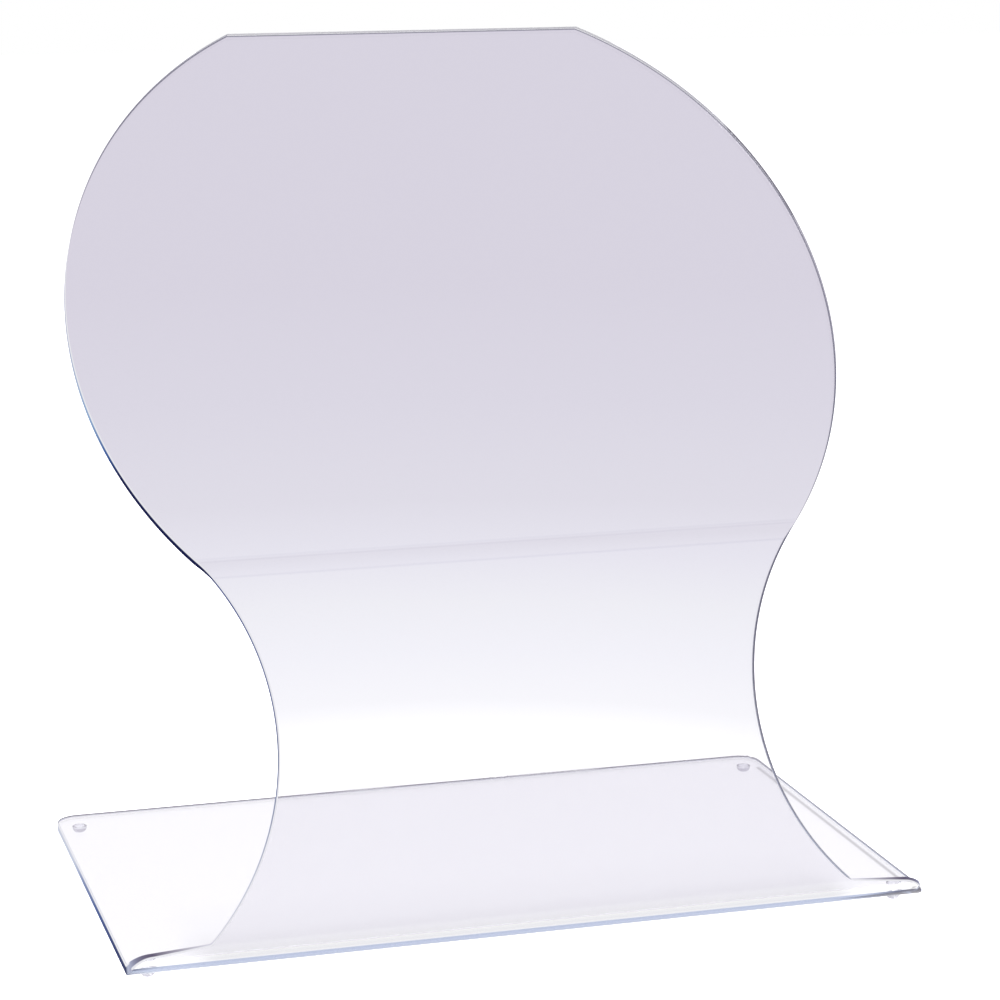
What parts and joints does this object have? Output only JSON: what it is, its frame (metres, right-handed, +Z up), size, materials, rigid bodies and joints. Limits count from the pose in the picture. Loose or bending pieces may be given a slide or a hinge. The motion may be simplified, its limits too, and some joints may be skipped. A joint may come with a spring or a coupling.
{
  "type": "bench splash shield",
  "caption": "Clear one-piece splash shield for a lab bench: a folded sheet with a flat base plate, a waisted panel and a round, flat-topped face panel that leans back over the base.",
  "frame": {"origin": "on the bench surface, under the middle of the shield's overall width and depth", "axes": "+X to the user's right, +Y from the user towards the back of the bench, +Z up; the front bend is at the lowest Y and the panel leans towards +Y"},
  "size_m": [0.343, 0.2158, 0.3644],
  "materials": {
    "clear_sheet": "polished clear plastic sheet with saw-cut, flame-smoothed edges of a faint blue grey",
    "clear_bumper": "soft clear moulded bumper, smooth and slightly glossy"
  },
  "bodies": {
    "root": {"shield_sheet": "clear_sheet", "foot_front_left": "clear_bumper", "foot_front_right": "clear_bumper", "foot_back_left": "clear_bumper", "foot_back_right": "clear_bumper"}
  },
  "joints": []
}
